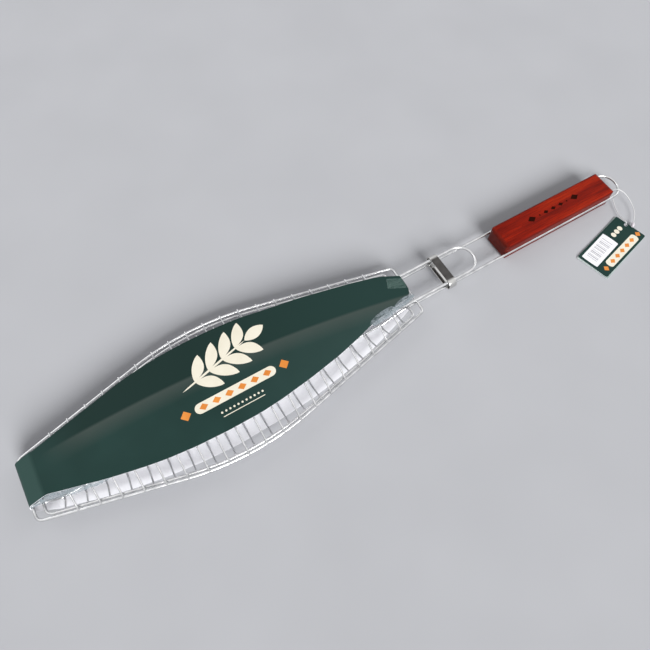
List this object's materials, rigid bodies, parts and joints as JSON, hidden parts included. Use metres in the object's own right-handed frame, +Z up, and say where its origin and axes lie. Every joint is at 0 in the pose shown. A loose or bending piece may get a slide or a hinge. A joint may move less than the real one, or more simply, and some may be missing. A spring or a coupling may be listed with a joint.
{
  "type": "grill basket",
  "caption": "Hinged wire basket for grilling a whole fish, with a long wire handle, wooden grip, sliding lock clip, card sleeve and hang tag.",
  "frame": {"origin": "on the floor, under the middle of the basket, on the underside of the bottom card leaf", "axes": "+X from the hinged tip to the grip, +Z up with the lid on top, +Y to the far side"},
  "size_m": [0.6375, 0.1499, 0.0277],
  "materials": {
    "plated_wire": "bright plated steel wire",
    "clip_steel": "bright plated sheet steel",
    "grip_wood": "stained red-brown and varnished",
    "sleeve_card": "green print with a thin film, plain white inside",
    "tape_film": "clear",
    "tag_card": "green print, folded card",
    "sticker_paper": "matt white",
    "string_plastic": "clear-white loop",
    "bead_plastic": "clear-white"
  },
  "bodies": {
    "tray": {"main_wire": "plated_wire", "tray_rim": "plated_wire", "tray_wire_01": "plated_wire", "tray_wire_02": "plated_wire", "tray_wire_03": "plated_wire", "tray_wire_04": "plated_wire", "tray_wire_05": "plated_wire", "tray_wire_06": "plated_wire", "tray_wire_07": "plated_wire", "tray_wire_08": "plated_wire", "tray_wire_09": "plated_wire", "tray_wire_10": "plated_wire", "tray_wire_11": "plated_wire", "tray_wire_12": "plated_wire", "tray_wire_13": "plated_wire", "tray_wire_14": "plated_wire", "tray_wire_15": "plated_wire", "tray_wire_16": "plated_wire", "tray_wire_17": "plated_wire", "tray_wire_18": "plated_wire", "tray_wire_19": "plated_wire", "tray_wire_20": "plated_wire", "grip": "grip_wood", "sleeve_bottom": "sleeve_card", "sleeve_wrap": "sleeve_card", "hang_tag": "tag_card", "tag_sticker": "sticker_paper", "tag_string": "string_plastic", "lock_bead": "bead_plastic"},
    "lid": {"lid_rim": "plated_wire", "lid_wire": "plated_wire", "lid_wire_01": "plated_wire", "lid_wire_02": "plated_wire", "lid_wire_03": "plated_wire", "lid_wire_04": "plated_wire", "lid_wire_05": "plated_wire", "lid_wire_06": "plated_wire", "lid_wire_07": "plated_wire", "lid_wire_08": "plated_wire", "lid_wire_09": "plated_wire", "lid_wire_10": "plated_wire", "lid_wire_11": "plated_wire", "lid_wire_12": "plated_wire", "lid_wire_13": "plated_wire", "lid_wire_14": "plated_wire", "lid_wire_15": "plated_wire", "lid_wire_16": "plated_wire", "lid_wire_17": "plated_wire", "lid_wire_18": "plated_wire", "lid_wire_19": "plated_wire", "hinge_hook_near": "plated_wire", "hinge_hook_far": "plated_wire", "sleeve_top": "sleeve_card", "closing_tape": "tape_film"},
    "clip": {"clip": "clip_steel"}
  },
  "joints": [
    {"name": "lid_hinge", "type": "hinge", "parent": "tray", "child": "lid", "pos_m": [-0.1772, 0, 0.01307], "axis": [0, -1, 0], "range_deg": [0, 110], "deforming": ["sleeve_wrap"]},
    {"name": "clip_slide", "type": "slide", "parent": "tray", "child": "clip", "axis": [1, 0, 0], "range_m": [-0.033, 0.064]}
  ]
}
